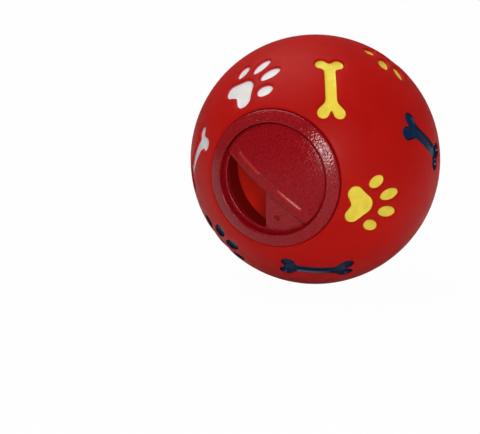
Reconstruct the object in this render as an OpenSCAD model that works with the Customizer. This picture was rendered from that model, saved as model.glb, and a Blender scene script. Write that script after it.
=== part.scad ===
// Treat ball: a hollow soft ball with painted paw and bone pockets, and a rigid
// insert in its mouth whose turning shutter opens or closes a treat window.
// The ball rests on its lowest point, at the origin. The insert faces -Y.

/* [Ball] */
// Outside diameter of the ball
ball_d = 110; // [100:1:140]
// Wall of the moulded shell
wall = 2.8; // [2.2:0.1:3.6]
// Radius of the rounded edge around the mouth
mouth_round = 0.8; // [0.5:0.1:1.6]
// Straight wall left below the rounded edge of the mouth
mouth_wall = 1.6; // [0.6:0.1:2.2]
// Thickness of the inner lip that the insert grips
lip_t = 2.2; // [1.6:0.1:3]

/* [Painted pockets] */
// Depth of the moulded pockets
pocket_depth = 1.5; // [1:0.1:1.8]
// Thickness of the paint on a pocket's floor
paint_t = 0.35; // [0.2:0.05:0.5]
// Gap between the paint and the pocket's walls
paint_gap = 0.1; // [0.05:0.05:0.2]
// Overall length of a bone
bone_len = 31.2; // [26:0.2:36]
// Overall width of a bone's ends
bone_w = 12.8; // [12.2:0.2:15]
// Diameter of the four round lobes of a bone
lobe_d = 5.8; // [5.2:0.2:6.4]
// Width of a bone's shank
shank_w = 5.4; // [4.6:0.2:6.4]
// Length of the arms at a bone's deeply notched end
long_arm = 5.3; // [4.6:0.1:6]
// Length of the arms at its other end
short_arm = 1.9; // [1.5:0.1:2.5]
// Width of an arm where it leaves the shank
arm_w = 3.6; // [3:0.1:4.2]
// Distance from a paw's middle back to the two lobes of its pad
pad_back = 7.2; // [6.4:0.2:8]
// Diameter of a lobe of the pad
pad_lobe_d = 7.4; // [6.4:0.2:8]
// Distance between the middles of the two lobes
pad_lobe_gap = 9.6; // [8.8:0.2:10.4]
// Distance from the lobes forward to the pad's round front
pad_front = 3.9; // [3:0.1:4.6]
// Diameter of the pad's round front
pad_front_d = 9.2; // [8.2:0.2:10.2]
// How far the straight sides of bones and pads lie inside their rounds
side_in = 0.2; // [0.1:0.05:0.4]
// Distance from a paw's middle forward to its two front toes
toe_front = 9.1; // [8.7:0.1:9.7]
// Distance between the middles of the two front toes
front_toe_gap = 8; // [7.4:0.2:9]
// Length of a front toe
front_toe_len = 9.8; // [7.6:0.2:10.4]
// Outward turn of the two front toes
front_toe_angle = 10; // [0:1:20]
// Distance from a paw's middle forward to its two side toes
toe_side = 2.1; // [1.8:0.1:2.8]
// Distance between the middles of the two side toes
side_toe_gap = 20; // [19:0.2:21]
// Length of a side toe
side_toe_len = 7.8; // [6:0.2:8.2]
// Outward turn of the two side toes
side_toe_angle = 26; // [0:1:30]
// Width of a toe
toe_w = 5.5; // [4.3:0.1:5.7]

/* [Insert housing] */
// Outside diameter of the textured collar
collar_d = 59.6; // [57:0.2:64]
// Diameter of the round recess inside the collar
recess_d = 49.2; // [46:0.2:51]
// Width of the flat land on the collar's inner rim
land_w = 0.6; // [0.4:0.1:1]
// Depth of the window plate's edge below the land
plate_drop = 3.1; // [2.8:0.1:5]
// Radius of the window plate's domed face
dome_r = 73; // [62:1:120]
// Thickness of the window plate
plate_t = 1.8; // [1.4:0.1:2.6]
// Wall of the neck inside the ball's mouth
neck_wall = 2.4; // [1.8:0.1:2.6]
// How far the barb stands out from the neck
barb_out = 2; // [1.2:0.1:2.4]
// Height of the barb
barb_h = 2.2; // [1.6:0.1:3]
// Gap between the insert and the ball's mouth
mouth_gap = 0.1; // [0.05:0.05:0.3]
// Direction of the window's upper side, counter-clockwise from the right
window_start = 130; // [128:1:150]
// Direction of the window's lower side
window_end = 265; // [230:1:266]
// How far the window's two straight sides stand off the middle
window_side = 2.2; // [1.8:0.1:4]
// Width of the plate's rim around the window
window_rim = 2.2; // [1.2:0.1:3]
// Radius of the plate's hub inside the window
window_hub = 5.3; // [5.2:0.1:7]

/* [Shutter] */
// Thickness of the shutter
shutter_t = 1.5; // [1.2:0.1:2]
// Gap between the shutter and the window plate
shutter_gap = 0.25; // [0.2:0.05:0.4]
// Gap between the shutter and the wall of the recess
shutter_side_gap = 0.35; // [0.3:0.05:0.6]
// Distance from the pivot to the shutter's straight edge
chord_offset = 5.5; // [5:0.1:9]
// Direction in which the straight edge faces, counter-clockwise from the right
chord_facing = 230.8; // [200:0.1:260]
// Distance from the pivot to the line of the grip ribs
rib_offset = 1.1; // [0:0.1:3]
// Distance from the middle to where a grip rib starts
rib_start = 5.2; // [4:0.1:8]
// Length of a grip rib
rib_len = 13.4; // [8:0.1:14]
// Width of a grip rib
rib_w = 1.4; // [1:0.1:1.6]
// Height of a grip rib
rib_h = 0.6; // [0.4:0.05:0.7]
// Diameter of the pivot
pivot_d = 5; // [4:0.1:5.6]
// Radial running clearance of the pivot in its bore
pivot_gap = 0.05; // [0.02:0.01:0.1]
// Diameter of the pivot's thin end that takes the clip
clip_bore_d = 3.4; // [2.6:0.1:3.6]
// Diameter of the clip
clip_d = 10; // [8:0.2:14]
// Thickness of the clip
clip_t = 1.6; // [1.2:0.1:2.4]
// Gap between the clip and its seat on the pivot
clip_gap = 0.02; // [0.01:0.01:0.05]

/* [Baffle] */
// Height of the chamber between the window plate's edge and the baffle
chamber_h = 17.9; // [14:0.1:22]
// Diameter of the baffle
baffle_d = 52.8; // [44:0.2:53]
// Thickness of the baffle
baffle_t = 1.8; // [1.4:0.1:2.6]
// Diameter of a leg
leg_d = 5; // [4:0.1:5.6]
// Distance from the axis to a leg
leg_out = 17.2; // [15:0.1:18.6]
// Diameter of the pin on a leg's end
leg_pin_d = 2.2; // [1.6:0.1:2.6]
// Radial gap between a leg's pin and its hole
leg_pin_gap = 0.05; // [0.02:0.01:0.1]
// Gap between a leg's shoulder and the window plate
leg_gap = 0.1; // [0.05:0.05:0.3]
// How far a leg's pin ends below the face of the window plate
leg_pin_drop = 0.5; // [0.3:0.1:1]
// Angle of the leg beside the window
leg_angle = 276; // [270:1:280]
// Angle between one leg and the next
leg_step_angle = 105; // [102:1:106]

/* [Hidden] */
$fn = 96;
slack = 1;
ball_r = ball_d / 2;
inner_r = ball_r - wall;
floor_r = ball_r - pocket_depth;
collar_r = collar_d / 2;
recess_r = recess_d / 2;
neck_r = recess_r + neck_wall;
mouth_r = collar_r + mouth_gap;
lip_r = neck_r + mouth_gap;
mouth_angle = asin((mouth_r + mouth_round) / ball_r);

// Height of a sphere's surface over the middle plane, at a distance from the axis
function height_at(sphere_r, distance) = sqrt(sphere_r * sphere_r - distance * distance);

// Angle from the insert's axis to a place on the ball, from its distance to the edge of the mouth
function front_tilt(distance) = mouth_angle + distance / ball_r * 180 / PI;

// Heights along the insert's axis, from the ball's middle
round_z = height_at(ball_r - mouth_round, mouth_r + mouth_round);
seat_z = round_z - mouth_wall;
lip_z = seat_z - lip_t;
barb_z = lip_z - mouth_gap;
skirt_z = barb_z - barb_h;
land_z = height_at(ball_r, recess_r + land_w);
dome_z = land_z - plate_drop - height_at(dome_r, recess_r);
plate_top_z = dome_z + dome_r;
plate_low_z = dome_z + height_at(dome_r - plate_t, recess_r);
clip_z = dome_z + height_at(dome_r - plate_t, clip_d / 2) - shutter_gap;
baffle_z = plate_low_z - chamber_h;

shutter_r = recess_r - shutter_side_gap;
shutter_back_r = dome_r + shutter_gap;
shutter_face_r = shutter_back_r + shutter_t;
pivot_r = pivot_d / 2;
bore_r = pivot_r + pivot_gap;
clip_bore_r = clip_bore_d / 2;
window_r = recess_r - window_rim;
leg_pin_r = leg_pin_d / 2;
leg_angles = [for (i = [0:2]) leg_angle + i * leg_step_angle];

vinyl_red = [0.66, 0.12, 0.09];
insert_red = [0.55, 0.1, 0.12];
baffle_red = [0.66, 0.13, 0.07];
paint_colors = [
    ["white", [0.88, 0.87, 0.85]],
    ["yellow", [0.9, 0.8, 0.25]],
    ["navy", [0.08, 0.16, 0.22]],
];

// Painted pockets: name, shape, paint, place, angle around the insert's axis, turn.
// A bone at turn 0 points away from the insert, and so do a paw's toes.
// Those around the mouth have the distance from its edge, along the ball, as their place.
FRONT_MOTIFS = [
    ["front_white_bone", "bone", "white", 17.4, 176, 56],
    ["front_white_paw", "paw", "white", 15.4, 113.5, -54],
    ["front_yellow_bone", "bone", "yellow", 19.3, 63, 216],
    ["front_yellow_paw", "paw", "yellow", 14.7, -14.7, 7],
    ["front_navy_bone", "bone", "navy", 19.7, -72, 57],
    ["front_navy_paw", "paw", "navy", 23.2, -134, 170],
];
// Those further back have the angle from the insert's axis.
BACK_MOTIFS = [
    ["side_navy_bone", "bone", "navy", 85.6, 13.7, 138.5],
    ["side_yellow_paw", "paw", "yellow", 100.8, 56.3, -147],
    ["side_yellow_bone", "bone", "yellow", 110, 121, 50],
    ["side_white_paw", "paw", "white", 105, 184, 180],
    ["side_white_bone", "bone", "white", 108, 248, 50],
    ["side_navy_paw", "paw", "navy", 115, 309, 180],
    ["rear_white_bone", "bone", "white", 152, 30, 50],
    ["rear_yellow_paw", "paw", "yellow", 152, 150, 180],
    ["rear_navy_bone", "bone", "navy", 152, 270, 50],
];
MOTIFS = concat(
    [for (motif = FRONT_MOTIFS) [motif[0], motif[1], motif[2], front_tilt(motif[3]), motif[4], motif[5]]],
    BACK_MOTIFS
);

// From the insert's own frame, axis up and origin in the ball's middle, to the part's frame
module along_insert() {
    translate([0, 0, ball_r])
        rotate([90, 0, 0])
            children();
}

// Something at each of the baffle's legs, standing on the given height
module at_legs(foot_z) {
    for (angle = leg_angles)
        rotate([0, 0, angle])
            translate([leg_out, 0, foot_z])
                children();
}

// A straight-sided bar from one round to the next, with the second round
module taper(start, start_r, end, end_r) {
    lean = acos((start_r - end_r) / norm(end - start));
    angle = atan2(end[1] - start[1], end[0] - start[0]);
    right = [cos(angle - lean), sin(angle - lean)];
    left = [cos(angle + lean), sin(angle + lean)];
    translate(end)
        circle(r = end_r);
    polygon([
        start + (start_r - side_in) * right,
        end + (end_r - side_in) * right,
        end + (end_r - side_in) * left,
        start + (start_r - side_in) * left,
    ]);
}

// A bone is a straight shank with two arms at each end, one end notched more deeply
module bone_outline(grow) {
    lobe = [bone_len / 2 - lobe_d / 2, bone_w / 2 - lobe_d / 2];
    lobe_r = lobe_d / 2 + grow;
    arm_r = arm_w / 2 + grow;
    shank_y = shank_w / 2 + grow;
    lap = shank_w / 4;
    polygon([
        [short_arm - lobe[0] - lap, -shank_y],
        [lobe[0] - long_arm + lap, -shank_y],
        [lobe[0] - long_arm + lap, shank_y],
        [short_arm - lobe[0] - lap, shank_y],
    ]);
    for (side = [0, 1])
        mirror([0, side]) {
            taper([lobe[0] - long_arm, 0], arm_r, lobe, lobe_r);
            mirror([1, 0])
                taper([lobe[0] - short_arm, 0], arm_r, lobe, lobe_r);
        }
}

// The pad is a round front and two lobes behind it, with straight sides between front and lobe
module pad_outline(grow) {
    front = [pad_front - pad_back, 0];
    front_r = pad_front_d / 2 + grow;
    translate(front)
        circle(r = front_r);
    for (side = [0, 1])
        mirror([0, side])
            taper(front, front_r, [-pad_back, pad_lobe_gap / 2], pad_lobe_d / 2 + grow);
}

// A toe is an oval
module toe_outline(middle, len, turn, grow) {
    translate(middle)
        rotate(turn)
            scale([len / 2 + grow, toe_w / 2 + grow])
                circle(r = 1);
}

module paw_outline(grow) {
    pad_outline(grow);
    for (side = [-1, 1]) {
        toe_outline([toe_front, side * front_toe_gap / 2], front_toe_len, side * front_toe_angle, grow);
        toe_outline([toe_side, side * side_toe_gap / 2], side_toe_len, side * side_toe_angle, grow);
    }
}

// A motif's outline as a prism that passes through the shell's wall
module motif_prism(motif, grow) {
    prism_z = inner_r - 2 * wall;
    rotate([0, 0, motif[4]])
        rotate([0, motif[3], 0])
            rotate([0, 0, motif[5]])
                translate([0, 0, prism_z])
                    linear_extrude(height = ball_r + slack - prism_z)
                        if (motif[1] == "bone")
                            bone_outline(grow);
                        else
                            paw_outline(grow);
}

module pockets() {
    difference() {
        for (motif = MOTIFS)
            motif_prism(motif, 0);
        sphere(r = floor_r);
    }
}

// Half section of the shell, with the insert's axis upwards
module shell_section() {
    lip_end = height_at(ball_r - wall / 2, lip_z);
    round_r = mouth_r + mouth_round;
    round_top = [round_r, round_z] * (ball_r + slack) / (ball_r - mouth_round);
    difference() {
        intersection() {
            circle(r = ball_r);
            translate([0, -ball_r])
                square([ball_r, ball_d]);
            union() {
                difference() {
                    circle(r = ball_r);
                    circle(r = inner_r);
                }
                translate([lip_r, lip_z])
                    square([lip_end - lip_r, lip_t]);
            }
        }
        translate([0, lip_z - slack])
            square([lip_r, ball_r]);
        translate([0, seat_z])
            square([mouth_r, ball_r]);
        difference() {
            polygon([
                [round_r, round_z],
                round_top,
                [mouth_r - slack, ball_r + slack],
                [mouth_r - slack, round_z],
            ]);
            translate([round_r, round_z])
                circle(r = mouth_round);
        }
    }
}

module ball_shell() {
    color(vinyl_red)
        along_insert()
            difference() {
                rotate_extrude()
                    shell_section();
                pockets();
            }
}

// Half section of a domed plate between two radii, as far out as the reach
module dome_section(back_r, face_r, reach) {
    intersection() {
        translate([0, dome_z])
            difference() {
                circle(r = face_r);
                circle(r = back_r);
            }
        square([reach, ball_r]);
    }
}

// Half section of the collar, its neck and the barb that holds it in the mouth
module housing_section() {
    intersection() {
        circle(r = ball_r);
        polygon([
            [recess_r, skirt_z],
            [neck_r, skirt_z],
            [neck_r + barb_out, barb_z],
            [neck_r, barb_z],
            [neck_r, seat_z],
            [collar_r, seat_z],
            [collar_r, land_z],
            [recess_r, land_z],
        ]);
    }
    dome_section(dome_r - plate_t, dome_r, recess_r + neck_wall / 2);
}

// The treat window: a sector between the plate's hub and its rim
module window_outline() {
    reach = 2 * recess_r;
    middle = (window_start + window_end) / 2;
    corner = window_side / sin(middle - window_start);
    intersection() {
        difference() {
            circle(r = window_r);
            circle(r = window_hub);
        }
        translate(corner * [cos(middle), sin(middle)])
            polygon([
                [0, 0],
                reach * [cos(window_start), sin(window_start)],
                reach * [cos(middle), sin(middle)],
                reach * [cos(window_end), sin(window_end)],
            ]);
    }
}

module insert_housing() {
    cut_z = plate_low_z - slack;
    cut_h = plate_top_z + slack - cut_z;
    color(insert_red)
        along_insert()
            difference() {
                rotate_extrude()
                    housing_section();
                translate([0, 0, cut_z])
                    linear_extrude(height = cut_h)
                        window_outline();
                translate([0, 0, cut_z])
                    cylinder(r = bore_r, h = cut_h);
                at_legs(cut_z)
                    cylinder(r = leg_pin_r + leg_pin_gap, h = cut_h);
            }
}

// A grip rib: a half-round bar, bent along the shutter's domed face
module grip_rib() {
    bar_r = (rib_w * rib_w / 4 + rib_h * rib_h) / (2 * rib_h);
    line_r = height_at(shutter_face_r, rib_offset) + rib_h - bar_r;
    near = asin(rib_start / line_r);
    far = asin((rib_start + rib_len) / line_r);
    translate([0, -rib_offset, dome_z])
        rotate([90, far - 90, 0])
            rotate_extrude(angle = far - near)
                translate([line_r, 0])
                    circle(r = bar_r);
}

// The shutter in its own turn: its straight edge faces -Y
module shutter_blank() {
    edge_len = 2 * shutter_r + 2 * slack;
    difference() {
        rotate_extrude()
            dome_section(shutter_back_r, shutter_face_r, shutter_r);
        translate([-edge_len / 2, -chord_offset - shutter_r, 0])
            cube([edge_len, shutter_r, ball_r]);
    }
    grip_rib();
    mirror([1, 0, 0])
        grip_rib();
}

module shutter() {
    pivot_top_z = dome_z + shutter_back_r + shutter_t / 2;
    color(insert_red)
        along_insert() {
            rotate([0, 0, chord_facing + 90])
                shutter_blank();
            translate([0, 0, clip_z])
                cylinder(r = pivot_r, h = pivot_top_z - clip_z);
            translate([0, 0, clip_z - clip_t])
                cylinder(r = clip_bore_r, h = clip_t + plate_t / 2);
        }
}

module pivot_clip() {
    color(insert_red)
        along_insert()
            translate([0, 0, clip_z - clip_t])
                difference() {
                    cylinder(r = clip_d / 2, h = clip_t);
                    translate([0, 0, -slack])
                        cylinder(r = clip_bore_r + clip_gap, h = clip_t + 2 * slack);
                }
}

module baffle() {
    edge_r = baffle_t / 2;
    color(baffle_red)
        along_insert() {
            translate([0, 0, baffle_z - edge_r])
                rotate_extrude() {
                    translate([0, -edge_r])
                        square([baffle_d / 2 - edge_r, baffle_t]);
                    intersection() {
                        translate([baffle_d / 2 - edge_r, 0])
                            circle(r = edge_r);
                        translate([0, -baffle_t])
                            square([baffle_d, 2 * baffle_t]);
                    }
                }
            intersection() {
                at_legs(baffle_z - edge_r)
                    cylinder(r = leg_d / 2, h = plate_top_z - baffle_z);
                translate([0, 0, dome_z])
                    sphere(r = dome_r - plate_t - leg_gap);
            }
            intersection() {
                at_legs(baffle_z)
                    cylinder(r = leg_pin_r, h = plate_top_z - baffle_z);
                translate([0, 0, dome_z])
                    sphere(r = dome_r - leg_pin_drop);
            }
        }
}

// The paint on one motif's pocket floor
module paint(motif) {
    shade = paint_colors[search([motif[2]], paint_colors)[0]][1];
    color(shade)
        along_insert()
            intersection() {
                motif_prism(motif, -paint_gap);
                difference() {
                    sphere(r = floor_r + paint_gap / 2 + paint_t);
                    sphere(r = floor_r + paint_gap / 2);
                }
            }
}

ball_shell();
insert_housing();
shutter();
pivot_clip();
baffle();
for (motif = MOTIFS)
    paint(motif);
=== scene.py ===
from math import acos, asin, cos, hypot, pi, radians, sin, sqrt

import bmesh
import bpy
from mathutils import Matrix, Vector
from mathutils.geometry import delaunay_2d_cdt


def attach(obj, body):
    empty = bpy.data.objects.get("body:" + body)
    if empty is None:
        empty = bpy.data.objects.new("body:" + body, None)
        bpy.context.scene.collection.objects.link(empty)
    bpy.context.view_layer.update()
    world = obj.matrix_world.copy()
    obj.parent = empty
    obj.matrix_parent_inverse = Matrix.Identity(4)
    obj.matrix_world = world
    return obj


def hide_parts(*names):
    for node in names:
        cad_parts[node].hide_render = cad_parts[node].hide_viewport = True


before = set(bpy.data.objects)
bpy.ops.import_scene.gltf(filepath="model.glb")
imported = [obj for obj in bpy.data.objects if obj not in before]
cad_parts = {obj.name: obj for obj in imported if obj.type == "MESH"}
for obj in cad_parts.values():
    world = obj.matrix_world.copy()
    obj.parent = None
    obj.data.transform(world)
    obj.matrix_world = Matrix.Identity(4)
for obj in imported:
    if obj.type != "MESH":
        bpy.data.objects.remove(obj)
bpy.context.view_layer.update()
scene = bpy.context.scene
mm = 0.001

# Pieces are drawn in millimetres on the insert's axis: z out of the mouth, origin in the ball's middle
ball = dict(radius=55.0, wall=2.8, mouth=29.9, mouthRound=0.8, mouthWall=1.6, lip=2.2, lipHole=27.1,
            lipRound=0.3, spinSteps=360, roundSteps=8, innerSteps=40, skinDetail=6, rimGap=0.02, weld=0.002)
roundRing = ball["mouth"] + ball["mouthRound"]
roundHeight = sqrt((ball["radius"] - ball["mouthRound"]) ** 2 - roundRing ** 2)
seat = roundHeight - ball["mouthWall"]
middle = Vector((0, 0, ball["radius"] * mm))
toPart = Matrix.Translation(middle) @ Matrix.Rotation(pi / 2, 4, "X") @ Matrix.Scale(mm, 4)


# Outlines are distances in a flat drawing, negative inside
def softUnion(a, b, blend):
    overlap = max(blend - abs(a - b), 0) / blend
    return min(a, b) - overlap * overlap * blend / 4


def softMeet(a, b, blend):
    return -softUnion(-a, -b, blend)


def discDistance(x, y, cx, cy, r):
    return hypot(x - cx, y - cy) - r


def barDistance(x, y, x0, x1, cy):
    return hypot(x - min(max(x, x0), x1), y - cy)


# A bar with round ends of two radii
def taperDistance(x, y, start, startR, end, endR):
    length = hypot(end[0] - start[0], end[1] - start[1])
    ux, uy = (end[0] - start[0]) / length, (end[1] - start[1]) / length
    along = (x - start[0]) * ux + (y - start[1]) * uy
    aside = abs((y - start[1]) * ux - (x - start[0]) * uy)
    lean = (startR - endR) / length
    rise = sqrt(1 - lean * lean)
    reach = along * rise - aside * lean
    if reach < 0:
        return hypot(along, aside) - startR
    if reach > length * rise:
        return hypot(along - length, aside) - endR
    return along * lean + aside * rise - startR


def ovalDistance(x, y, cx, cy, halfLen, halfWide, turn):
    u = (x - cx) * cos(turn) + (y - cy) * sin(turn)
    v = (y - cy) * cos(turn) - (x - cx) * sin(turn)
    size = hypot(u / halfLen, v / halfWide)
    slope = hypot(u / halfLen ** 2, v / halfWide ** 2)
    return size * (size - 1) / slope if slope > 1e-9 else -min(halfLen, halfWide)


def slopeOf(distance, x, y):
    h = 0.001
    return ((distance(x + h, y) - distance(x - h, y)) / (2 * h),
            (distance(x, y + h) - distance(x, y - h)) / (2 * h))


# Slides a point to where the distance has the given level
def settle(distance, x, y, level, rounds=4):
    for _ in range(rounds):
        gx, gy = slopeOf(distance, x, y)
        off = (distance(x, y) - level) / max(gx * gx + gy * gy, 1e-6)
        x, y = x - off * gx, y - off * gy
    return x, y


# Walks once round an outline from a point inside it
def walkOutline(distance, inside, step, firstStep=0.05, closeShare=0.75):
    x, y = inside
    while distance(x, y) < 0:
        y += firstStep
    x, y = settle(distance, x, y, 0, rounds=20)
    ring = [(x, y)]
    while len(ring) < 4 or hypot(x - ring[0][0], y - ring[0][1]) > step * closeShare:
        gx, gy = slopeOf(distance, x, y)
        size = hypot(gx, gy)
        x, y = settle(distance, x - gy / size * step, y + gx / size * step, 0)
        ring.append((x, y))
    return ring[:-1]


# Moves a ring out or in; points that crowd together in a notch become one
def slideRing(distance, ring, level, crowd=0.06):
    slid = [settle(distance, x, y, level) for x, y in ring]
    for i in range(1, len(slid)):
        if hypot(slid[i][0] - slid[i - 1][0], slid[i][1] - slid[i - 1][1]) < crowd:
            slid[i] = slid[i - 1]
    return slid


def hexGrid(reach, step, rowShare=0.866):
    rows = int(reach / (step * rowShare)) + 1
    cols = int(reach / step) + 1
    return [((i + j % 2 / 2) * step, j * step * rowShare)
            for j in range(-rows, rows + 1) for i in range(-cols, cols + 1)]


def insideRing(spot, ring):
    inside = False
    for (a, _), (b, _) in zip(ring, ring[1:] + ring[:1]):
        if (a[1] > spot.y) != (b[1] > spot.y):
            inside ^= spot.x < a[0] + (b[0] - a[0]) * (spot.y - a[1]) / (b[1] - a[1])
    return inside


# Fills the first border with triangles, drawn flat, clear of the other borders, which are holes.
# Each point is a flat place and a vertex
def fillSheet(bm, borders, rings, points):
    flats, verts, edges, homes = [], [], [], []
    for home, ring in enumerate(borders + rings):
        first = len(flats)
        flats += [Vector(flat) for flat, _ in ring]
        verts += [vert for _, vert in ring]
        homes += [home if home < len(borders) else -1] * len(ring)
        edges += [(first + i, first + (i + 1) % len(ring)) for i in range(len(ring))]
    flats += [Vector(flat) for flat, _ in points]
    verts += [vert for _, vert in points]
    homes += [-1] * len(points)
    _, _, faces, origins, _, _ = delaunay_2d_cdt(flats, edges, [], 0, 1e-7, True)
    made = []
    for face in faces:
        a, b, c = [origins[i][0] for i in face]
        home = homes[a]
        if home >= 0 and home == homes[b] == homes[c]:
            if insideRing((flats[a] + flats[b] + flats[c]) / 3, borders[home]) != (home == 0):
                continue
        made.append(bm.faces.new((verts[a], verts[b], verts[c])))
    return made


def addRing(bm, ring, place):
    made = {spot: bm.verts.new(place(*spot)) for spot in dict.fromkeys(ring)}
    return [(spot, made[spot]) for spot in ring]


# Rings at several levels, each slid from the one before
def addRings(bm, distance, ring, levels, place):
    made = []
    for level in levels:
        ring = slideRing(distance, ring, level)
        made.append(addRing(bm, ring, place))
    return made


def addBand(bm, ring, nextRing):
    for i in range(len(ring)):
        j = (i + 1) % len(ring)
        corners = list(dict.fromkeys((ring[i][1], ring[j][1], nextRing[j][1], nextRing[i][1])))
        if len(corners) > 2:
            bm.faces.new(corners)


# Gives a sheet a back, with each point moved to its place there
def thicken(bm, faces, backOf):
    made = bmesh.ops.extrude_face_region(bm, geom=faces)
    for vert in made["geom"]:
        if isinstance(vert, bmesh.types.BMVert):
            vert.co = backOf(vert.co)


# A section's points turned round the insert's axis
def spinSection(bm, section, closed=False):
    ends = [bm.verts.new((r, 0, z)) for r, z in section]
    pairs = list(zip(ends, ends[1:])) + ([(ends[-1], ends[0])] if closed else [])
    wires = [bm.edges.new(pair) for pair in pairs]
    bmesh.ops.spin(bm, geom=ends + wires, cent=(0, 0, 0), axis=(0, 0, 1), angle=2 * pi,
                   steps=ball["spinSteps"], use_merge=True)


# A closed section with its corners cut round: (r, z, rounding)
def roundSection(corners, segments=5):
    out = []
    for i, (r, z, rounding) in enumerate(corners):
        if rounding == 0:
            out.append((r, z))
            continue
        here = Vector((r, z))
        start = here + (Vector(corners[i - 1][:2]) - here).normalized() * rounding
        end = here + (Vector(corners[(i + 1) % len(corners)][:2]) - here).normalized() * rounding
        for k in range(segments + 1):
            t = k / segments
            out.append(tuple(start * (1 - t) ** 2 + here * 2 * t * (1 - t) + end * t ** 2))
    return out


def newPiece(name, bm, body, slot, node, *materials):
    bmesh.ops.remove_doubles(bm, verts=bm.verts, dist=ball["weld"])
    bmesh.ops.recalc_face_normals(bm, faces=bm.faces)
    bmesh.ops.transform(bm, matrix=toPart, verts=bm.verts)
    for face in bm.faces:
        face.smooth = True
    openEdges = sum(not edge.is_manifold for edge in bm.edges)
    mesh = bpy.data.meshes.new(name)
    bm.to_mesh(mesh)
    bm.free()
    for material in materials:
        mesh.materials.append(material)
    piece = bpy.data.objects.new(name, mesh)
    scene.collection.objects.link(piece)
    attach(piece, body)
    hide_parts(node)
    print(name, len(mesh.polygons), "faces,", openEdges, "open edges")


# Finishes

def newMaterial(name, look):
    material = bpy.data.materials.new(name)
    material.use_nodes = True
    tree = material.node_tree
    shader = tree.nodes["Principled BSDF"]
    shader.inputs["Specular IOR Level"].default_value = look["specular"]
    return material, tree, shader


def addNode(tree, kind, **settings):
    node = tree.nodes.new(kind)
    for key, value in settings.items():
        if key in node.inputs:
            node.inputs[key].default_value = value
        else:
            setattr(node, key, value)
    return node


def noiseAt(tree, size, detail=2.0):
    coords = addNode(tree, "ShaderNodeTexCoord")
    noise = addNode(tree, "ShaderNodeTexNoise", Scale=1 / (size * mm), Detail=detail)
    tree.links.new(coords.outputs["Object"], noise.inputs["Vector"])
    return noise.outputs["Fac"]


def spread(tree, value, low, high, start=0.3, end=0.7):
    remap = addNode(tree, "ShaderNodeMapRange")
    for socket, number in zip(remap.inputs[1:5], (start, end, low, high)):
        socket.default_value = number
    tree.links.new(value, remap.inputs["Value"])
    return remap.outputs["Result"]


# A measure of where a point lies in the part: DOT_PRODUCT or DISTANCE, in metres
def placeOf(tree, operation, vector):
    coords = addNode(tree, "ShaderNodeTexCoord")
    measure = addNode(tree, "ShaderNodeVectorMath", operation=operation)
    measure.inputs[1].default_value = vector
    tree.links.new(coords.outputs["Object"], measure.inputs[0])
    return measure.outputs["Value"]


# A mix of two colours by a share: the sockets of both and of the result
def colorMix(tree, share):
    mix = addNode(tree, "ShaderNodeMix", data_type="RGBA")
    tree.links.new(share, mix.inputs["Factor"])
    return mix.inputs[6], mix.inputs[7], mix.outputs[2]


# Changes the colour to another one by a share
def tintOver(tree, shader, share, color):
    first, second, mixed = colorMix(tree, share)
    second.default_value = (*color, 1)
    tree.links.new(shader.inputs["Base Color"].links[0].from_socket, first)
    tree.links.new(mixed, shader.inputs["Base Color"])


def scaled(tree, value, share):
    product = addNode(tree, "ShaderNodeMath", operation="MULTIPLY")
    tree.links.new(value, product.inputs[0])
    tree.links.new(share, product.inputs[1])
    return product.outputs[0]


def tint(tree, shader, value, look):
    first, second, mixed = colorMix(tree, spread(tree, value, 0, 1))
    first.default_value = (*look["dark"], 1)
    second.default_value = (*look["light"], 1)
    tree.links.new(mixed, shader.inputs["Base Color"])


def gloss(tree, shader, value, look):
    low, high = look["roughness"]
    tree.links.new(spread(tree, value, low, high), shader.inputs["Roughness"])


# Each layer is a pattern and the height of its relief
def relief(tree, shader, *layers):
    normal = None
    for value, height in layers:
        bump = addNode(tree, "ShaderNodeBump", Strength=1.0, Distance=height * mm)
        tree.links.new(value, bump.inputs["Height"])
        if normal:
            tree.links.new(normal, bump.inputs["Normal"])
        normal = bump.outputs["Normal"]
    tree.links.new(normal, shader.inputs["Normal"])


# A painted glow, an emission that stands in for the light that comes through the soft wall, on the pieces
# inside
def paintedGlow(tree, shader, strength, color):
    shader.inputs["Emission Color"].default_value = (*color, 1)
    tree.links.new(strength, shader.inputs["Emission Strength"])


vinyl = dict(dark=(0.39, 0.0042, 0.0026), light=(0.445, 0.0062, 0.0036), roughness=(0.42, 0.52),
             specular=0.08, matt=0.45, cloud=24, sheenSize=7, wave=9, waveHeight=0.02, pore=0.7,
             poreHeight=0.002, paintedGlow=(1.0, 0.03, 0.025), glowPower=0.035, glowFull=52.4, glowEnd=53.2)


def vinylMaterial():
    material, tree, shader = newMaterial("satinVinyl", vinyl)
    shader.inputs["Diffuse Roughness"].default_value = vinyl["matt"]
    tint(tree, shader, noiseAt(tree, vinyl["cloud"], detail=3), vinyl)
    gloss(tree, shader, noiseAt(tree, vinyl["sheenSize"], detail=4), vinyl)
    relief(tree, shader, (noiseAt(tree, vinyl["wave"]), vinyl["waveHeight"]),
           (noiseAt(tree, vinyl["pore"]), vinyl["poreHeight"]))
    # Painted glow: the shell's inside glows a little, full within glowFull mm of the middle and gone at
    # glowEnd
    fromMiddle = placeOf(tree, "DISTANCE", middle)
    ends = vinyl["glowFull"] * mm, vinyl["glowEnd"] * mm
    paintedGlow(tree, shader, spread(tree, fromMiddle, vinyl["glowPower"], 0, *ends), vinyl["paintedGlow"])
    return material


grained = dict(dark=(0.15, 0.0018, 0.0045), light=(0.36, 0.0045, 0.0100), roughness=(0.1, 0.2),
               specular=0.32, speck=0.55, grain=0.75, grainHeight=0.17, fine=0.4, fineHeight=0.008,
               patch=2.5)
# The shutter is duller, and smooth and shiny from its ribs to its straight edge; start and end in metres
shutterGrain = dict(grained, across=(-0.632, 0, -0.775), start=-0.0425, end=-0.0422, stripRelief=0.08,
                    dull=0.16, shiny=0.22)


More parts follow.
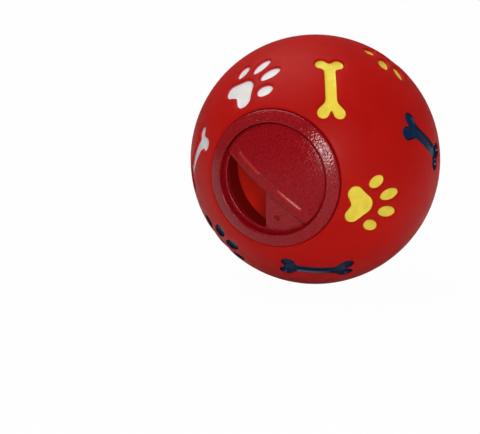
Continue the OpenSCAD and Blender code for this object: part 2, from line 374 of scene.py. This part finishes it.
def grainedMaterial(name, look):
    material, tree, shader = newMaterial(name, look)
    grain = noiseAt(tree, look["grain"], detail=0.5)
    fine = noiseAt(tree, look["fine"])
    tint(tree, shader, noiseAt(tree, look["speck"]), look)
    gloss(tree, shader, noiseAt(tree, look["patch"], detail=4), look)
    if "across" in look:
        across = placeOf(tree, "DOT_PRODUCT", look["across"])
        share = spread(tree, across, 1, look["stripRelief"], look["start"], look["end"])
        grain, fine = scaled(tree, grain, share), scaled(tree, fine, share)
        level = spread(tree, across, look["dull"], look["shiny"], look["start"], look["end"])
        tree.links.new(level, shader.inputs["Specular IOR Level"])
    relief(tree, shader, (grain, look["grainHeight"]), (fine, look["fineHeight"]))
    return material


smooth = dict(dark=(0.68, 0.0110, 0.0045), light=(0.76, 0.0140, 0.0055), roughness=(0.34, 0.44),
              specular=0.2, cloud=16, flow=5, dent=3, dentHeight=0.004)
# The ends of the baffle's pins, in the window plate, are darker with painted shade, as in a dimple, and the
# rest of the baffle has a painted glow; their start and end in metres
baffle = dict(smooth, pinShade=(0.16, 0.0030, 0.0030), pinStart=0.0425, pinFull=0.0445,
              paintedGlow=(1.0, 0.04, 0.02), glowPower=0.075)
polished = dict(smooth, dark=(0.38, 0.0060, 0.0060), light=(0.44, 0.0080, 0.0080),
                roughness=(0.12, 0.2), specular=0.5)


def smoothMaterial(name, look):
    material, tree, shader = newMaterial(name, look)
    tint(tree, shader, noiseAt(tree, look["cloud"], detail=3), look)
    if "pinShade" in look:
        forward = placeOf(tree, "DOT_PRODUCT", (0, -1, 0))
        ends = look["pinStart"], look["pinFull"]
        # Painted shade on the pins' ends
        tintOver(tree, shader, spread(tree, forward, 0, 1, *ends), look["pinShade"])
        # Painted glow on the rest of the baffle, none at the pins' ends
        paintedGlow(tree, shader, spread(tree, forward, look["glowPower"], 0, *ends), look["paintedGlow"])
    gloss(tree, shader, noiseAt(tree, look["flow"], detail=3), look)
    relief(tree, shader, (noiseAt(tree, look["dent"]), look["dentHeight"]))
    return material


# On the pocket's wall the coat is thin and takes another colour: pink on the white paint, where the red
# shows through; on the yellow and navy paints a darker colour, which is painted shade on the wall
paints = {
    "white": dict(dark=(0.72, 0.70, 0.68), light=(0.79, 0.77, 0.75), wall=(0.50, 0.10, 0.15),
                  roughness=(0.33, 0.46), specular=0.25),
    "yellow": dict(dark=(0.74, 0.57, 0.044), light=(0.82, 0.66, 0.060), wall=(0.20, 0.07, 0.012),
                   roughness=(0.31, 0.44), specular=0.25),
    "navy": dict(dark=(0.001, 0.013, 0.045), light=(0.004, 0.024, 0.075), wall=(0.001, 0.006, 0.024),
                 roughness=(0.18, 0.28), specular=0.14),
}
brushed = dict(cloud=3.5, sheen=1.8, ripple=2.2, rippleHeight=0.02, wallStart=53.7, wallEnd=53.95)


def paintMaterial(name):
    look = paints[name]
    material, tree, shader = newMaterial(name + "Paint", look)
    tint(tree, shader, noiseAt(tree, brushed["cloud"], detail=4), look)
    fromMiddle = placeOf(tree, "DISTANCE", middle)
    onWall = spread(tree, fromMiddle, 0, 1, brushed["wallStart"] * mm, brushed["wallEnd"] * mm)
    # Wall colour: the red beneath a thin coat for white, painted shade for yellow and navy
    tintOver(tree, shader, onWall, look["wall"])
    gloss(tree, shader, noiseAt(tree, brushed["sheen"], detail=3), look)
    relief(tree, shader, (noiseAt(tree, brushed["ripple"], detail=3), brushed["rippleHeight"]))
    return material


finishes = {"vinyl": vinylMaterial(),
            "grain": grainedMaterial("sparkedGrain", grained),
            "shutter": grainedMaterial("sparkedShutter", shutterGrain),
            "smooth": smoothMaterial("moulded", smooth),
            "baffle": smoothMaterial("mouldedBaffle", baffle),
            "rib": smoothMaterial("polishedRib", polished)}
for name in paints:
    finishes[name] = paintMaterial(name)
print("finishes", sorted(finishes))

# Painted pockets. A lip's steps: distance from the outline and depth, outwards and inwards
pocket = dict(depth=1.5, step=0.4, outlineDepth=0.75, skinGap=1.8, floorGap=0.9, floorStep=2.2, reach=22,
              lipOut=((0.1, 0.55), (0.2, 0.36), (0.3, 0.18), (0.39, 0.07), (0.48, 0.02), (0.56, 0.0)),
              lipIn=((-0.1, 0.95), (-0.2, 1.15), (-0.28, 1.33), (-0.4, 1.45), (-0.6, 1.5)))
bone = dict(lobe=(12.7, 3.5), lobeR=2.9, longArm=5.3, shortArm=1.9, armR=1.8, shankR=2.7, blend=1.2,
            notch=0.8)
paw = dict(inside=(-5, 0), front=(-3.3, 0.0), frontR=4.6, lobe=(-7.2, 4.8), lobeR=3.7, notch=0.8,
           frontToe=dict(x=9.1, y=4.0, halfLen=4.9, halfWide=2.75, turn=10),
           sideToe=dict(x=2.1, y=10.0, halfLen=3.9, halfWide=2.75, turn=26))
# Shape, angle from the insert's axis, angle around it, turn
motifs = {
    "front_white_bone": ("bone", 52.0, 176, 56),
    "front_white_paw": ("paw", 49.95, 113.5, -54),
    "front_yellow_bone": ("bone", 54.0, 63, 216),
    "front_yellow_paw": ("paw", 49.25, -14.7, 7),
    "front_navy_bone": ("bone", 54.45, -72, 57),
    "front_navy_paw": ("paw", 58.1, -134, 170),
    "side_navy_bone": ("bone", 85.6, 13.7, 138.5),
    "side_yellow_paw": ("paw", 100.8, 56.3, -147),
    "side_yellow_bone": ("bone", 110, 121, 50),
    "side_white_paw": ("paw", 105, 184, 180),
    "side_white_bone": ("bone", 108, 248, 50),
    "side_navy_paw": ("paw", 115, 309, 180),
    "rear_white_bone": ("bone", 152, 30, 50),
    "rear_yellow_paw": ("paw", 152, 150, 180),
    "rear_navy_bone": ("bone", 152, 270, 50),
}


# Two arms at each end of the shank, longer ones at the end with the deep notch
def boneDistance(x, y):
    lobeX = bone["lobe"][0]
    root = (lobeX - (bone["longArm"] if x > 0 else bone["shortArm"]), 0)
    upper = taperDistance(abs(x), y, root, bone["armR"], bone["lobe"], bone["lobeR"])
    lower = taperDistance(abs(x), -y, root, bone["armR"], bone["lobe"], bone["lobeR"])
    shank = barDistance(x, y, bone["shortArm"] - lobeX, lobeX - bone["longArm"], 0) - bone["shankR"]
    return softUnion(softUnion(upper, lower, bone["notch"]), shank, bone["blend"])


def padDistance(x, y):
    lobeX, lobeY = paw["lobe"]
    right = taperDistance(x, y, paw["front"], paw["frontR"], (lobeX, lobeY), paw["lobeR"])
    left = taperDistance(x, y, paw["front"], paw["frontR"], (lobeX, -lobeY), paw["lobeR"])
    return softUnion(right, left, paw["notch"])


def toeDistance(toe, side):
    return lambda x, y: ovalDistance(x, y, toe["x"], side * toe["y"], toe["halfLen"], toe["halfWide"],
                                     side * radians(toe["turn"]))


# The rings of a lip with their depths, from the outside in
def lipRings(distance, outline):
    rings = [(outline, pocket["outlineDepth"])]
    for level, depth in pocket["lipOut"]:
        rings.insert(0, (slideRing(distance, rings[0][0], level), depth))
    for level, depth in pocket["lipIn"]:
        rings.append((slideRing(distance, rings[-1][0], level), depth))
    return rings


def outlinesOf(parts):
    outlines = [(distance, walkOutline(distance, inside, pocket["step"])) for distance, inside in parts]
    return [(distance, outline, lipRings(distance, outline)) for distance, outline in outlines]


toes = [(toeDistance(paw[toe], side), (paw[toe]["x"], side * paw[toe]["y"]))
        for toe in ("frontToe", "sideToe") for side in (-1, 1)]
shapes = {"bone": outlinesOf([(boneDistance, (0, 0))]),
          "paw": outlinesOf([(padDistance, paw["inside"])] + toes)}


def shapeDistance(shape, x, y):
    return min(distance(x, y) for distance, _, _ in shapes[shape])


def motifTurn(name):
    _, tilt, around, turn = motifs[name]
    return (Matrix.Rotation(radians(around), 3, "Z") @ Matrix.Rotation(radians(tilt), 3, "Y")
            @ Matrix.Rotation(radians(turn), 3, "Z"))


def onBall(x, y, radius):
    return Vector((x, y, sqrt(radius * radius - x * x - y * y)))


# The ball's outside laid flat, as seen from the middle of its mouth
def layFlat(point):
    d = point.normalized()
    return d.x / (1 - d.z), d.y / (1 - d.z)


def gridInside(distance, ring, step, gap):
    reach = max(hypot(x, y) for x, y in ring)
    return [(x, y) for x, y in hexGrid(reach, step) if distance(x, y) < -gap]


# Lips and floor of one motif's pockets; returns the outer rings of the lips
def addPockets(bm, shape, turn):
    outerRings = []
    for distance, outline, lip in shapes[shape]:
        lastRing = None
        for flatRing, depth in lip:
            ring = addRing(bm, flatRing, lambda x, y: turn @ onBall(x, y, ball["radius"] - depth))
            if lastRing:
                addBand(bm, lastRing, ring)
            else:
                outerRings.append([(layFlat(vert.co), vert) for _, vert in ring])
            lastRing = ring
        inner = gridInside(distance, outline, pocket["floorStep"], pocket["floorGap"])
        points = addRing(bm, inner, lambda x, y: turn @ onBall(x, y, ball["radius"] - pocket["depth"]))
        fillSheet(bm, [lastRing], [], points)
    return outerRings


# An even scatter over the ball, clear of the mouth and of the pockets' lips
def skinPoints(bm, turns, rimAngle):
    points = []
    scatter = bmesh.new()
    bmesh.ops.create_icosphere(scatter, subdivisions=ball["skinDetail"], radius=ball["radius"])
    for vert in scatter.verts:
        near = acos(vert.co.z / ball["radius"]) < rimAngle + ball["rimGap"]
        for name, turn in turns.items():
            local = turn.transposed() @ vert.co
            if not near and local.z > 0 and hypot(local.x, local.y) < pocket["reach"]:
                near = shapeDistance(motifs[name][0], local.x, local.y) < pocket["skinGap"]
        if not near:
            points.append((layFlat(vert.co), bm.verts.new(vert.co)))
    scatter.free()
    return points


def ballShell():
    bm = bmesh.new()
    radius = ball["radius"]
    turns = {name: motifTurn(name) for name in motifs}
    borders = []
    for name, turn in turns.items():
        borders += addPockets(bm, motifs[name][0], turn)
    rimAngle = asin(roundRing / (radius - ball["mouthRound"]))
    rimPoint = Vector((radius * sin(rimAngle), 0, radius * cos(rimAngle)))
    rim = []
    for i in range(ball["spinSteps"]):
        vert = bm.verts.new(Matrix.Rotation(2 * pi * i / ball["spinSteps"], 3, "Z") @ rimPoint)
        rim.append((layFlat(vert.co), vert))
    fillSheet(bm, [rim] + borders, [], skinPoints(bm, turns, rimAngle))

    # Rounded mouth, inner lip and inner wall
    section = []
    for i in range(ball["roundSteps"] + 1):
        angle = pi / 2 - rimAngle + i / ball["roundSteps"] * (pi / 2 + rimAngle)
        rise, out = ball["mouthRound"] * sin(angle), ball["mouthRound"] * cos(angle)
        section.append((roundRing + out, roundHeight + rise))
    lipBack = seat - ball["lip"]
    section += [(ball["mouth"], seat), (ball["lipHole"] + ball["lipRound"], seat),
                (ball["lipHole"], seat - ball["lipRound"]), (ball["lipHole"], lipBack)]
    innerRadius = radius - ball["wall"]
    start = acos(lipBack / innerRadius)
    for i in range(ball["innerSteps"] + 1):
        angle = start + i / ball["innerSteps"] * (pi - start)
        section.append((innerRadius * sin(angle), innerRadius * cos(angle)))
    spinSection(bm, section)
    newPiece("ballShell", bm, "ball", "vinyl", "ball_shell", finishes["vinyl"])


ballShell()

# The paint covers the pocket's floor and climbs its wall: distance from the outline, depth.
# Each colour climbs to a depth of its own
paintFill = dict(film=((0.24, 0.2), (0.14, 0.36), (0.04, 0.55), (-0.06, 0.75), (-0.16, 0.95),
                       (-0.26, 1.13), (-0.36, 1.28), (-0.5, 1.38)),
                 climbTo=dict(white=0.7, yellow=1.1, navy=0.15), thickness=0.08, gridStep=1.3, gridGap=0.9)


def paintPiece(name):
    shape, color = motifs[name][0], name.split("_")[1]
    turn = motifTurn(name)
    bm = bmesh.new()
    for distance, outline, _ in shapes[shape]:
        flatRing, lastRing = outline, None
        for level, depth in paintFill["film"]:
            if depth < paintFill["climbTo"][color]:
                continue
            flatRing = slideRing(distance, flatRing, level)
            ring = addRing(bm, flatRing, lambda x, y: turn @ onBall(x, y, ball["radius"] - depth))
            if lastRing:
                addBand(bm, lastRing, ring)
            lastRing = ring
        grid = gridInside(distance, outline, paintFill["gridStep"], paintFill["gridGap"])
        points = addRing(bm, grid, lambda x, y: turn @ onBall(x, y, ball["radius"] - depth))
        fillSheet(bm, [lastRing], [], points)
    thicken(bm, bm.faces[:], lambda point: point - point.normalized() * paintFill["thickness"])
    newPiece(name.title().replace("_", ""), bm, "ball", color + "_paint", name, finishes[color])


for name in motifs:
    paintPiece(name)

# The insert: collar, neck and barb, and the domed plate with the treat window
insert = dict(collar=29.8, recess=24.6, land=25.2, collarRound=0.5, rimRound=0.55, capSteps=10, neck=27.0,
              barb=29.0, barbGap=0.1, barbHeight=2.2, smallRound=0.2, plateDrop=3.1, dome=73.0, plate=1.8,
              plateReach=25.1, plateSteps=240, bore=2.55, edge=(0.0, 0.05, 0.15, 0.3, 0.5), ringStep=0.5,
              gridStep=1.2, holeGap=0.5, rimGap=0.6)
window = dict(outer=22.4, hub=5.3, start=130, end=265, side=2.2, corner=1.2, sharp=0.2, inside=(-14, -6))
legs = dict(out=17.2, hole=1.15, angles=(276, 381, 486))
landTop = sqrt(ball["radius"] ** 2 - insert["land"] ** 2)
domeMiddle = landTop - insert["plateDrop"] - sqrt(insert["dome"] ** 2 - insert["recess"] ** 2)


def windowDistance(x, y):
    r = hypot(x, y)
    first, last = radians(window["start"]), radians(window["end"])
    startSide = x * sin(first) - y * cos(first) + window["side"]
    endSide = y * cos(last) - x * sin(last) + window["side"]
    shape = softMeet(startSide, endSide, window["sharp"])
    shape = softMeet(shape, r - window["outer"], window["corner"])
    return softMeet(shape, window["hub"] - r, window["corner"])


def holeDistance(cx, cy, r):
    return lambda x, y: discDistance(x, y, cx, cy, r)


def onDome(x, y, radius):
    return Vector((x, y, domeMiddle + sqrt(radius * radius - x * x - y * y)))


# How far a rounded edge falls away, at a distance in from the edge
def edgeFall(rounding, distance):
    inside = max(rounding - max(distance, 0), 0)
    return rounding - sqrt(rounding * rounding - inside * inside)


def insertHousing():
    bm = bmesh.new()
    steps = insert["capSteps"]
    cap = [insert["collar"] + (insert["land"] - insert["collar"]) * i / steps for i in range(steps + 1)]
    capTop = [sqrt(ball["radius"] ** 2 - r * r) for r in cap]
    barbTop = seat - ball["lip"] - insert["barbGap"]
    skirt = barbTop - insert["barbHeight"]
    small = insert["smallRound"]
    corners = [(insert["recess"], skirt, small), (insert["neck"], skirt, small),
               (insert["barb"], barbTop, small), (insert["neck"], barbTop, small),
               (insert["neck"], seat, small), (insert["collar"], seat, small),
               (cap[0], capTop[0], insert["collarRound"])]
    corners += [(r, z, 0) for r, z in zip(cap[2:-1], capTop[2:-1])]
    corners += [(insert["land"], landTop, small), (insert["recess"], landTop, insert["rimRound"])]
    spinSection(bm, roundSection(corners), closed=True)

    # The plate, with rounded edges around its holes
    holes = [(windowDistance, window["inside"]), (holeDistance(0, 0, insert["bore"]), (0, 0))]
    for angle in legs["angles"]:
        cx, cy = legs["out"] * cos(radians(angle)), legs["out"] * sin(radians(angle))
        holes.append((holeDistance(cx, cy, legs["hole"]), (cx, cy)))

    def clearOf(x, y):
        return min(distance(x, y) for distance, _ in holes)

    def plateTop(x, y):
        return onDome(x, y, insert["dome"]) - Vector((0, 0, edgeFall(insert["edge"][-1], clearOf(x, y))))

    reach = insert["plateReach"]
    turnStep = 2 * pi / insert["plateSteps"]
    rim = [(reach * cos(i * turnStep), reach * sin(i * turnStep)) for i in range(insert["plateSteps"])]
    borders = [addRing(bm, rim, plateTop)]
    rings = []
    for distance, inside in holes:
        outline = walkOutline(distance, inside, insert["ringStep"])
        made = addRings(bm, distance, outline, insert["edge"], plateTop)
        borders.append(made[0])
        rings += made[1:]
    grid = [(x, y) for x, y in hexGrid(reach, insert["gridStep"])
            if clearOf(x, y) > insert["edge"][-1] + insert["holeGap"]
            and hypot(x, y) < reach - insert["rimGap"]]
    faces = fillSheet(bm, borders, rings, addRing(bm, grid, plateTop))
    thicken(bm, faces, lambda point: onDome(point.x, point.y, insert["dome"] - insert["plate"]))
    newPiece("insertHousing", bm, "ball", "grained_plastic", "insert_housing", finishes["grain"])


insertHousing()

# The shutter, drawn with its straight edge towards -y, with its ribs, sink mark and pivot
shutter = dict(radius=24.25, gap=0.25, thickness=1.5, chord=5.5, facing=230.8, corner=0.8, ringStep=0.5,
               gridStep=0.9, gridGap=0.4, edge=(0.0, -0.03, -0.12, -0.3, -0.8), sink=0.07, sinkSize=2.6,
               pivot=2.5, pin=1.7, clip=5.0, pinLength=1.6)
rib = dict(line=1.1, start=5.9, end=17.9, half=0.7, height=0.6, roundEnd=0.8, filletEnd=1.3, filletRise=0.6,
           polishedShare=0.9, ringStep=0.3, rings=(0.91, 0.78, 0.66, 0.56, 0.4, 0.25), spineSteps=30,
           gridGap=1.3, walkFrom=0.01)


def shutterDistance(x, y):
    return softMeet(hypot(x, y) - shutter["radius"], -shutter["chord"] - y, shutter["corner"])


def ribDistance(x, y):
    return barDistance(abs(x), y, rib["start"], rib["end"], -rib["line"])


# A round back that runs out into the plate in a small fillet
def ribRise(x, y):
    share = ribDistance(x, y) / rib["half"]
    if share < rib["roundEnd"]:
        return rib["height"] * sqrt(1 - share * share)
    foot = (rib["filletEnd"] - min(share, rib["filletEnd"])) / (rib["filletEnd"] - rib["roundEnd"])
    return rib["height"] * rib["filletRise"] * foot * foot


def shutterPiece():
    bm = bmesh.new()
    back = insert["dome"] + shutter["gap"]
    rounding = -shutter["edge"][-1]

    def face(x, y):
        fall = edgeFall(rounding, -shutterDistance(x, y))
        sunk = shutter["sink"] * max(1 - (hypot(x, y) / shutter["sinkSize"]) ** 2, 0)
        return onDome(x, y, back + shutter["thickness"]) + Vector((0, 0, ribRise(x, y) - fall - sunk))

    outline = walkOutline(shutterDistance, (0, 0), shutter["ringStep"])
    rings = addRings(bm, shutterDistance, outline, shutter["edge"], face)
    spine = []
    for side in (-1, 1):
        ribMiddle = (side * (rib["start"] + rib["end"]) / 2, -rib["line"] + rib["walkFrom"])
        ribOutline = walkOutline(lambda x, y: ribDistance(x, y) - rib["half"], ribMiddle, rib["ringStep"])
        rings += addRings(bm, ribDistance, ribOutline, rib["rings"], face)
        along = [rib["start"] + i / rib["spineSteps"] * (rib["end"] - rib["start"])
                 for i in range(rib["spineSteps"] + 1)]
        spine += [(side * x, -rib["line"]) for x in along]
    grid = [(x, y) for x, y in hexGrid(shutter["radius"], shutter["gridStep"])
            if shutterDistance(x, y) < -rounding - shutter["gridGap"]
            and ribDistance(x, y) > rib["gridGap"]]
    faces = fillSheet(bm, rings[:1], rings[1:], addRing(bm, spine + grid, face))
    for triangle in faces:
        spot = triangle.calc_center_median()
        triangle.material_index = ribDistance(spot.x, spot.y) < rib["half"] * rib["polishedShare"]
    thicken(bm, faces, lambda point: onDome(point.x, point.y, back))

    clipTop = onDome(shutter["clip"], 0, insert["dome"] - insert["plate"]).z - shutter["gap"]
    pivotTop = domeMiddle + back + shutter["thickness"] / 2
    spinSection(bm, [(0, pivotTop), (shutter["pivot"], pivotTop), (shutter["pivot"], clipTop),
                     (shutter["pin"], clipTop), (shutter["pin"], clipTop - shutter["pinLength"]),
                     (0, clipTop - shutter["pinLength"])])
    turn = Matrix.Rotation(radians(shutter["facing"] + 90), 3, "Z")
    bmesh.ops.rotate(bm, verts=bm.verts, cent=(0, 0, 0), matrix=turn)
    newPiece("shutterPlate", bm, "shutter", "grained_plastic", "shutter",
             finishes["shutter"], finishes["rib"])


shutterPiece()

for node, finish in (("baffle", "baffle"), ("pivot_clip", "smooth")):
    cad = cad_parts[node]
    cad.data.materials.clear()
    cad.data.materials.append(finishes[finish])
print("baffle and pivot clip keep their CAD shape")

# Floor, lights and camera
studio = dict(floorSize=6.0, floorColor=0.7, floorRough=0.8, floorWhite=0.98, glossWhite=0.03, sky=0.15,
              key=dict(side=0.28, height=0.28, front=1.45, power=8.5, size=0.35),
              fill=dict(side=0.05, height=0.02, front=1.5, power=5.4, size=0.5),
              top=dict(side=-0.45, height=1.42, front=0.0, power=17.5, size=1.4))


# White where the camera sees it, and a little in reflections
def whiteShare(tree, share):
    rays = addNode(tree, "ShaderNodeLightPath")
    dimmed = addNode(tree, "ShaderNodeMath", operation="MULTIPLY")
    dimmed.inputs[1].default_value = studio["glossWhite"]
    tree.links.new(rays.outputs["Is Glossy Ray"], dimmed.inputs[0])
    seen = addNode(tree, "ShaderNodeMath", operation="MAXIMUM")
    tree.links.new(dimmed.outputs[0], seen.inputs[0])
    tree.links.new(rays.outputs["Is Camera Ray"], seen.inputs[1])
    part = addNode(tree, "ShaderNodeMath", operation="MULTIPLY")
    part.inputs[1].default_value = share
    tree.links.new(seen.outputs[0], part.inputs[0])
    return part.outputs[0]


def mixIn(tree, share, plain, white, output):
    mix = addNode(tree, "ShaderNodeMixShader")
    tree.links.new(share, mix.inputs["Fac"])
    tree.links.new(plain, mix.inputs[1])
    tree.links.new(white, mix.inputs[2])
    tree.links.new(mix.outputs["Shader"], tree.nodes[output].inputs["Surface"])


def addFloor():
    material = bpy.data.materials.new("paleFloor")
    material.use_nodes = True
    tree = material.node_tree
    shader = tree.nodes["Principled BSDF"]
    shader.inputs["Base Color"].default_value = (*[studio["floorColor"]] * 3, 1)
    shader.inputs["Roughness"].default_value = studio["floorRough"]
    white = addNode(tree, "ShaderNodeEmission", Strength=1.0)
    mixIn(tree, whiteShare(tree, studio["floorWhite"]), shader.outputs["BSDF"], white.outputs["Emission"],
          "Material Output")
    bm = bmesh.new()
    bmesh.ops.create_grid(bm, x_segments=2, y_segments=2, size=studio["floorSize"] / 2)
    mesh = bpy.data.meshes.new("floor")
    bm.to_mesh(mesh)
    bm.free()
    mesh.materials.append(material)
    floor = bpy.data.objects.new("floor", mesh)
    scene.collection.objects.link(floor)


def addSky():
    scene.world = bpy.data.worlds.new("studio")
    scene.world.use_nodes = True
    tree = scene.world.node_tree
    plain = tree.nodes["Background"]
    plain.inputs["Color"].default_value = (1, 1, 1, 1)
    plain.inputs["Strength"].default_value = studio["sky"]
    white = addNode(tree, "ShaderNodeBackground", Strength=1.0)
    mixIn(tree, whiteShare(tree, 1.0), plain.outputs["Background"], white.outputs["Background"],
          "World Output")


view = dict(azimuth=22.0, elevation=11.0, distance=1.5, lens=255.1, sensor=36, aimRight=-0.0331,
            aimUp=-0.0256)
azimuth, elevation = radians(view["azimuth"]), radians(view["elevation"])
toCamera = Vector((sin(azimuth) * cos(elevation), -cos(azimuth) * cos(elevation), sin(elevation)))
toRight = Vector((cos(azimuth), sin(azimuth), 0))
toTop = toCamera.cross(toRight)


def fromView(side, height, front):
    return middle + toRight * side + toTop * height + toCamera * front


def addLamp(name):
    look = studio[name]
    lamp = bpy.data.lights.new(name + "Lamp", "AREA")
    lamp.energy = look["power"]
    lamp.size = look["size"]
    holder = bpy.data.objects.new(name + "Lamp", lamp)
    holder.location = fromView(look["side"], look["height"], look["front"])
    holder.rotation_euler = (middle - holder.location).to_track_quat("-Z", "Y").to_euler()
    scene.collection.objects.link(holder)


def addCamera():
    camera = bpy.data.objects.new("camera", bpy.data.cameras.new("camera"))
    camera.data.lens = view["lens"]
    camera.data.sensor_width = view["sensor"]
    camera.location = fromView(0, 0, view["distance"])
    aim = fromView(view["aimRight"], view["aimUp"], 0)
    camera.rotation_euler = (aim - camera.location).to_track_quat("-Z", "Y").to_euler()
    scene.collection.objects.link(camera)
    scene.camera = camera


addFloor()
addSky()
for name in ("key", "fill", "top"):
    addLamp(name)
addCamera()
scene.view_settings.view_transform = "Standard"
print("floor, lights and camera")
